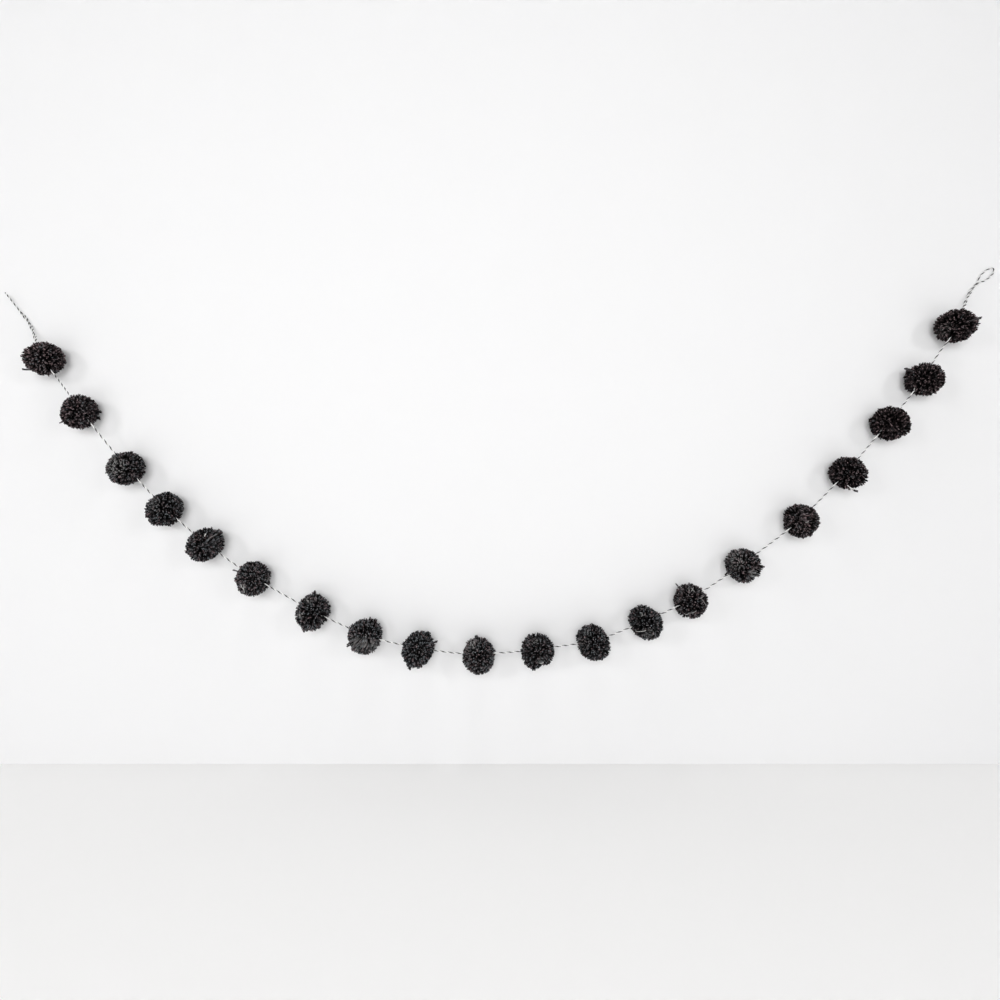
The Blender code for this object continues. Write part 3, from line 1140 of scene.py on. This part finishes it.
def all_yarn_ends(row, curves, side, pale, combed, rng):
    """The cut yarn ends of a ball, and the lightness and warmth of each."""
    width = rng.uniform(*END_WIDTHS, YARN_ENDS)
    points = off_the_backdrop(bend_copies(yarn_end, curves, side, width, FRAYED, rng))
    plies = YARN_ENDS, YARN_PLIES
    lightness = row.tone * rng.gamma(END_EVENNESS, 1 / END_EVENNESS, (YARN_ENDS, 1))
    lightness = LIGHT_OF_YARN * lightness * rng.gamma(PLY_EVENNESS, 1 / PLY_EVENNESS, plies)
    warmth = np.clip(row.warm + WARMTH_SPREAD * rng.normal(size=(YARN_ENDS, 1)), 0, 1)
    pale = pale[:, None] * rng.uniform(*PALE_RANGE, plies) * (rng.random(plies) < PALE_CHANCE)
    # Combed ends lie side on to the light, so less shade is painted on their shafts.
    light_in_painted_shade = SHAFT_LIGHT_IN_PAINTED_SHADE + (COMBED_SHAFT_LIGHT_IN_PAINTED_SHADE - SHAFT_LIGHT_IN_PAINTED_SHADE) * combed[:, None]
    dyes_and_shade = dye_and_shade_of(YARN_ENDS, yarn_end, np.clip(lightness, 0, 1), warmth, pale, light_in_painted_shade)
    return (yarn_end, points, dyes_and_shade, np.arange(YARN_ENDS)), lightness, warmth


def all_fibres(centre, curves, side, lightness, warmth, rng):
    """Fine loose fibres, each rooted in one of the yarn ends."""
    chosen = rng.integers(0, YARN_ENDS, FIBRES)
    tips = curves[chosen, 2]
    root = tips + rng.normal(0, FIBRE_SPREAD, (FIBRES, 3))
    way = unit(unit(tips - centre) + rng.normal(0, FIBRE_STRAY, (FIBRES, 3)))
    reach = rng.uniform(*FIBRE_LENGTHS, (FIBRES, 1)) * FIBRE_LENGTH
    hairs = np.stack([root - way * FIBRE_ROOT, root + way * reach / 2, root + way * reach], 1)
    hairs[:, 2] += rng.normal(0, FIBRE_BOW, (FIBRES, 3))
    points = off_the_backdrop(bend_copies(fibre, hairs, side[chosen], 1.0))
    dyes_and_shade = dye_and_shade_of(FIBRES, fibre, lightness[chosen, :1], warmth[chosen], FIBRE_PALE, 1)
    return fibre, points, dyes_and_shade, chosen


# %% Its loose pieces and its dense middle
LOOSE_LIFT = 1.3 * MM
THREAD_PALENESS = 0.3
LOOSE_LIGHT, LOOSE_WARMTH = 0.3, 0.4
# The dense middle is painted nearly black, as the shade deep inside a ball.
MIDDLE_LIGHT_IN_PAINTED_SHADE, MIDDLE_WARMTH = 0.02, 0.5


def all_loose_pieces(number, centre, solid):
    """The loose pieces of a ball: pale ones are thread and dark ones yarn."""
    groups = []
    for piece in LOOSE_PIECES:
        if piece.pompom != number:
            continue
        start = seen_place(solid, centre, piece.right, piece.up)
        end = seen_place(solid, centre, piece.to_right, piece.to_up)
        between = (start + end) / 2
        outward = unit(between - np.array(centre))
        half = between + outward * (piece.bulge * MM + LOOSE_LIFT)
        curve = np.stack([start - outward * LOOSE_LIFT, half, end + outward * LOOSE_LIFT])[None]
        model = thread if piece.pale > THREAD_PALENESS else yarn_end
        points = bend_copies(model, curve, outward[None], piece.thick)
        dyes_and_shade = dye_and_shade_of(1, model, LOOSE_LIGHT, LOOSE_WARMTH, piece.pale, 1)
        groups.append((model, points, dyes_and_shade, np.array([YARN_ENDS + len(groups)])))
    return groups


def tied_middle(row, along, centre, cell):
    """The dense middle of a ball, turned and stretched to the ball's own shape, painted nearly
    black as shade.
    """
    radius = row.thickness * MM / 2, row.width * MM / 2
    turn = np.array([along, (0, 1, 0), Vector(along).cross((0, 1, 0))])
    stretched = dense_middle.points * (radius[1], radius[1], radius[0])
    points = np.array(centre) + stretched @ turn[[1, 2, 0]]
    # The middle is painted nearly black, as the shade deep inside the ball.
    dyes_and_shade = dye_and_shade_of(1, dense_middle, MIDDLE_LIGHT_IN_PAINTED_SHADE, MIDDLE_WARMTH, 0, 1)
    return dense_middle, points[None], dyes_and_shade, np.array([cell])


# %% Grow one ball
FIRST_SEED = 1000
OTHER_CELLS = 8
CELLS_ACROSS = math.ceil(math.sqrt(YARN_ENDS + OTHER_CELLS))


def grow_pompom(number, row, along):
    """A whole ball as one mesh: its yarn ends, fibres, loose pieces and dense middle."""
    rng = np.random.default_rng(FIRST_SEED + number)
    centre, solid = centre_of(row), solid_of(f"pompom_{number:02d}")
    curves, pale, combed = yarn_curves(number, row, along, centre, solid, rng)
    side = rng.normal(size=(YARN_ENDS, 3))
    ends, lightness, warmth = all_yarn_ends(row, curves, side, pale, combed, rng)
    hairs = all_fibres(np.array(centre), curves, side, lightness, warmth, rng)
    loose = all_loose_pieces(number, centre, solid)
    middle = tied_middle(row, along, centre, YARN_ENDS + len(loose))
    mesh = joined_mesh(f"yarn_ball_{number:02d}", [ends, hairs, *loose, middle], CELLS_ACROSS)
    ball = bpy.data.objects.new(mesh.name, mesh)
    scene.collection.objects.link(ball)
    return ball


print("yarn ends on a ball:", YARN_ENDS)

# %% [markdown]
# ## Charcoal yarn
#
# The yarn is matt and almost black, without gloss and with a trace of sheen for its fuzz.
# A colour attribute carries how light, how warm and how pale each end is, and the shade
# that is painted onto each end, darker down its shaft towards the root. That keeps one
# material for all the balls, and no two ends look the same.

# %% Yarn material
DEEPEST = (0.002, 0.002, 0.002)
COOL_YARN = (0.185, 0.200, 0.212)
WARM_YARN = (0.270, 0.200, 0.206)
PALE_THREAD = (0.85, 0.84, 0.82)
FUZZ_TINT = (0.75, 0.75, 0.78, 1)


def charcoal_yarn():
    """Matt charcoal yarn that reads each end's dye and the shade painted on it."""
    material, surface, fibres = fibre_material(
        "charcoal_yarn", "yarn_lay", around=4, along=2.5, slant=0.6, bump=0.7, bump_height=0.25 * MM
    )
    tree = material.node_tree
    nodes, links = tree.nodes, tree.links
    set_inputs(surface, {"Specular IOR Level": 0, "Sheen Weight": 0.008, "Sheen Roughness": 0.5})
    set_inputs(surface, {"Sheen Tint": FUZZ_TINT})
    # The attribute holds each end's dye and the shade painted down its shaft.
    dye_and_shade = nodes.new("ShaderNodeAttribute")
    dye_and_shade.attribute_name = "dye_and_shade"
    parts = nodes.new("ShaderNodeSeparateColor")
    links.new(dye_and_shade.outputs["Color"], parts.inputs["Color"])
    mottle = nodes.new("ShaderNodeMapRange")
    set_inputs(mottle, {"To Min": 0.6, "To Max": 1.4})
    links.new(fibres.outputs["Mottle"], mottle.inputs["Value"])
    shade = nodes.new("ShaderNodeMath")
    shade.operation = "MULTIPLY"
    links.new(mottle.outputs["Result"], shade.inputs[0])
    links.new(parts.outputs["Red"], shade.inputs[1])
    cool = mixed(tree, shade.outputs[0], DEEPEST, COOL_YARN)
    warm = mixed(tree, shade.outputs[0], DEEPEST, WARM_YARN)
    tinted = mixed(tree, parts.outputs["Green"], cool, warm)
    colour = mixed(tree, parts.outputs["Blue"], tinted, PALE_THREAD)
    links.new(colour, surface.inputs["Base Color"])
    return material


yarn_material = charcoal_yarn()
print("yarn material nodes:", len(yarn_material.node_tree.nodes))

# %% Grow all the balls
for number, (row, along) in enumerate(zip(POMPOMS, twine_directions()), start=1):
    ball = grow_pompom(number, row, along)
    ball.data.materials.append(yarn_material)
    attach(ball, "root")
    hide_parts(f"pompom_{number:02d}")
triangles = sum(
    len(face.vertices) - 2 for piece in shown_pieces() for face in piece.data.polygons
)
print("triangles in all:", triangles)

# %% [markdown]
# ## The backdrop, the floor and the light
#
# A plain white backdrop and a pale floor stand behind and below. The backdrop has one side
# only: seen from behind it is clear, so the back of the garland can be looked at. Two soft
# lamps, left and right of the camera, give each ball a faint shadow towards the middle. A
# large one in the middle fills those shadows, and one from above brightens the floor.

# %% Backdrop and floor
FLOOR_Z = -613.5 * MM
BACKDROP_SIZE = 8
FLOOR_SIZE = 14


def plain_paint(name, colour, one_sided=False):
    """Matt paint, which can be clear from behind."""
    material = bpy.data.materials.new(name)
    material.use_nodes = True
    nodes, links = material.node_tree.nodes, material.node_tree.links
    paint = nodes["Principled BSDF"]
    set_inputs(paint, {"Base Color": (*colour, 1), "Roughness": 0.9, "Specular IOR Level": 0.2})
    if one_sided:
        side, clear = nodes.new("ShaderNodeNewGeometry"), nodes.new("ShaderNodeBsdfTransparent")
        mix = nodes.new("ShaderNodeMixShader")
        links.new(side.outputs["Backfacing"], mix.inputs[0])
        links.new(paint.outputs[0], mix.inputs[1])
        links.new(clear.outputs[0], mix.inputs[2])
        links.new(mix.outputs[0], nodes["Material Output"].inputs["Surface"])
    return material


bpy.ops.mesh.primitive_plane_add(
    size=BACKDROP_SIZE, location=(CAMERA_PLACE.x, BACKDROP_Y, FLOOR_Z + BACKDROP_SIZE / 2),
    rotation=(math.pi / 2, 0, 0),
)
backdrop = bpy.context.object
backdrop.name = "white_backdrop"
backdrop.data.materials.append(plain_paint("white_paint", (0.86, 0.86, 0.865), one_sided=True))
bpy.ops.mesh.primitive_plane_add(size=FLOOR_SIZE, location=(CAMERA_PLACE.x, 0, FLOOR_Z))
floor = bpy.context.object
floor.name = "pale_floor"
floor.data.materials.append(plain_paint("pale_floor", (0.97, 0.965, 0.96)))
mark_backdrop(backdrop, floor)

# %% Lamps and sky
Lamp = namedtuple("Lamp", "name place aim size watts")
LAMPS = (
    Lamp("left_softbox", (-1.0, -1.75, 0.35), (0.25, 0, -0.25), 0.4, 7.6),
    Lamp("right_softbox", (2.3, -1.75, 0.35), (1.05, 0, -0.25), 0.4, 6.8),
    Lamp("front_softbox", (0.50, -2.4, 0.2), (0.55, 0, -0.4), 1.2, 28.5),
    Lamp("top_softbox", (0.65, -0.45, 3.2), (0.65, -0.35, -0.6), 1.6, 34),
)
for lamp in LAMPS:
    place, aim = Vector(lamp.place), Vector(lamp.aim)
    turn = (aim - place).to_track_quat("-Z", "Y").to_euler()
    bpy.ops.object.light_add(type="AREA", location=place, rotation=turn)
    light = bpy.context.object
    light.name = lamp.name
    light.data.size = lamp.size
    light.data.energy = lamp.watts
sky = bpy.data.worlds.new("soft_surrounding_light")
scene.world = sky
sky.use_nodes = True
set_inputs(sky.node_tree.nodes["Background"], {"Color": (1, 1, 1, 1), "Strength": 0.15})
scene.view_settings.view_transform = "Standard"
print("lamps:", [lamp.name for lamp in LAMPS])
